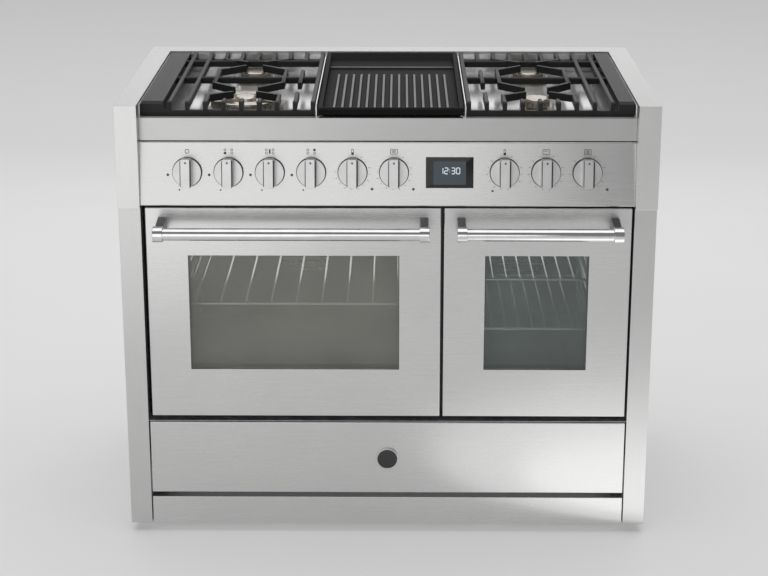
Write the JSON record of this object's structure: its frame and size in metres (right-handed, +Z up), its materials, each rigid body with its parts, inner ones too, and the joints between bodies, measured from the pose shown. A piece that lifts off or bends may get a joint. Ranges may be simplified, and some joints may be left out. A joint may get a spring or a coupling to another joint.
{
  "type": "range cooker with double oven",
  "caption": "Freestanding range cooker with two drop-down ovens side by side, a gas hob with cast grates and a central griddle, a row of knobs, and a storage drawer.",
  "frame": {"origin": "bottom centre of the bounding box, handles included, on the floor under the feet", "axes": "+X to the right seen from the front, +Y from the front to the back, +Z up; the doors and knobs face -Y"},
  "size_m": [1, 0.6744, 0.85],
  "materials": {
    "steel": "brushed stainless sheet",
    "bright_steel": "polished",
    "cast_iron": "matt enamelled casting",
    "black_enamel": "black stove enamel",
    "grey_enamel": "speckled grey oven enamel",
    "zinc": "galvanised or cast, dull",
    "glass": "clear",
    "black_glass": "dark display glass",
    "brass": "dull",
    "rubber": "heat-proof fabric and rubber",
    "plastic": "moulded",
    "wool": "mineral wool",
    "ceramic": "glazed ceramic"
  },
  "bodies": {
    "cabinet": {"left_side_panel": "steel", "right_side_panel": "steel", "top_frame": "steel", "back_panel": "zinc", "base_frame": "zinc", "plinth": "steel", "levelling_feet": "plastic", "worktop": "steel", "control_panel": "steel", "display_glass": "black_glass", "display_module": "plastic", "gas_manifold": "zinc", "gas_taps": "brass", "oven_switches": "plastic", "burner_bodies": "brass", "burner_caps": "bright_steel", "griddle_burner": "zinc", "igniters": "ceramic", "oven_front_frame": "black_enamel", "heat_shield": "zinc", "left_oven_cavity": "grey_enamel", "right_oven_cavity": "grey_enamel", "oven_insulation": "wool", "oven_seals": "rubber", "heating_elements": "bright_steel", "fan_covers": "grey_enamel", "fan_motors": "zinc", "oven_lamps": "glass", "rack_guides": "bright_steel", "oven_racks": "bright_steel", "drawer_runners": "zinc", "terminal_box": "plastic", "panel_screws": "zinc"},
    "left_fan": {"left_fan": "zinc"},
    "right_fan": {"right_fan": "zinc"},
    "left_door": {"left_door_skin": "steel", "left_door_glass": "glass", "left_door_liner": "grey_enamel", "left_door_handle": "bright_steel", "left_door_hinges": "zinc"},
    "right_door": {"right_door_skin": "steel", "right_door_glass": "glass", "right_door_liner": "grey_enamel", "right_door_handle": "bright_steel", "right_door_hinges": "zinc"},
    "drawer": {"drawer_front": "steel", "drawer_box": "zinc", "badge": "black_enamel"},
    "left_grate": {"left_grate": "cast_iron"},
    "right_grate": {"right_grate": "cast_iron"},
    "griddle": {"griddle": "cast_iron"},
    "knob_1": {"knob_1": "bright_steel"},
    "knob_2": {"knob_2": "bright_steel"},
    "knob_3": {"knob_3": "bright_steel"},
    "knob_4": {"knob_4": "bright_steel"},
    "knob_5": {"knob_5": "bright_steel"},
    "knob_6": {"knob_6": "bright_steel"},
    "knob_7": {"knob_7": "bright_steel"},
    "knob_8": {"knob_8": "bright_steel"},
    "knob_9": {"knob_9": "bright_steel"}
  },
  "joints": [
    {"name": "left_door_hinge", "type": "hinge", "parent": "cabinet", "child": "left_door", "pos_m": [-0.1755, -0.23475, 0.2575], "axis": [1, 0, 0], "range_deg": [0, 90], "stiffness_Nm_per_rad": 8, "springref_deg": -17.19},
    {"name": "right_door_hinge", "type": "hinge", "parent": "cabinet", "child": "right_door", "pos_m": [0.28, -0.23475, 0.2575], "axis": [1, 0, 0], "range_deg": [0, 90], "stiffness_Nm_per_rad": 5.5, "springref_deg": -17.19},
    {"name": "drawer_slide", "type": "slide", "parent": "cabinet", "child": "drawer", "axis": [0, -1, 0], "range_m": [0, 0.4]},
    {"name": "knob_1_turn", "type": "hinge", "parent": "cabinet", "child": "knob_1", "pos_m": [-0.3705, -0.24578, 0.7215], "axis": [0, -0.9899, 0.142], "range_deg": [0, 270]},
    {"name": "knob_2_turn", "type": "hinge", "parent": "cabinet", "child": "knob_2", "pos_m": [-0.294, -0.24578, 0.7215], "axis": [0, -0.9899, 0.142], "range_deg": [0, 270]},
    {"name": "knob_3_turn", "type": "hinge", "parent": "cabinet", "child": "knob_3", "pos_m": [-0.2175, -0.24578, 0.7215], "axis": [0, -0.9899, 0.142], "range_deg": [0, 270]},
    {"name": "knob_4_turn", "type": "hinge", "parent": "cabinet", "child": "knob_4", "pos_m": [-0.141, -0.24578, 0.7215], "axis": [0, -0.9899, 0.142], "range_deg": [0, 270]},
    {"name": "knob_5_turn", "type": "hinge", "parent": "cabinet", "child": "knob_5", "pos_m": [-0.0645, -0.24578, 0.7215], "axis": [0, -0.9899, 0.142], "range_deg": [0, 270]},
    {"name": "knob_6_turn", "type": "hinge", "parent": "cabinet", "child": "knob_6", "pos_m": [0.012, -0.24578, 0.7215], "axis": [0, -0.9899, 0.142], "range_deg": [-300, 0]},
    {"name": "knob_7_turn", "type": "hinge", "parent": "cabinet", "child": "knob_7", "pos_m": [0.2165, -0.24578, 0.7215], "axis": [0, -0.9899, 0.142], "continuous": true},
    {"name": "knob_8_turn", "type": "hinge", "parent": "cabinet", "child": "knob_8", "pos_m": [0.293, -0.24578, 0.7215], "axis": [0, -0.9899, 0.142], "range_deg": [-300, 0]},
    {"name": "knob_9_turn", "type": "hinge", "parent": "cabinet", "child": "knob_9", "pos_m": [0.3695, -0.24578, 0.7215], "axis": [0, -0.9899, 0.142], "continuous": true},
    {"name": "left_grate_lift", "type": "slide", "parent": "cabinet", "child": "left_grate", "axis": [0, 0, 1], "range_m": [0, 0.12]},
    {"name": "right_grate_lift", "type": "slide", "parent": "cabinet", "child": "right_grate", "axis": [0, 0, 1], "range_m": [0, 0.12]},
    {"name": "griddle_lift", "type": "slide", "parent": "cabinet", "child": "griddle", "axis": [0, 0, 1], "range_m": [0, 0.12]},
    {"name": "left_fan_spin", "type": "hinge", "parent": "cabinet", "child": "left_fan", "pos_m": [-0.1755, 0.21375, 0.4495], "axis": [0, 1, 0], "continuous": true},
    {"name": "right_fan_spin", "type": "hinge", "parent": "cabinet", "child": "right_fan", "pos_m": [0.28, 0.21375, 0.4495], "axis": [0, 1, 0], "continuous": true}
  ]
}
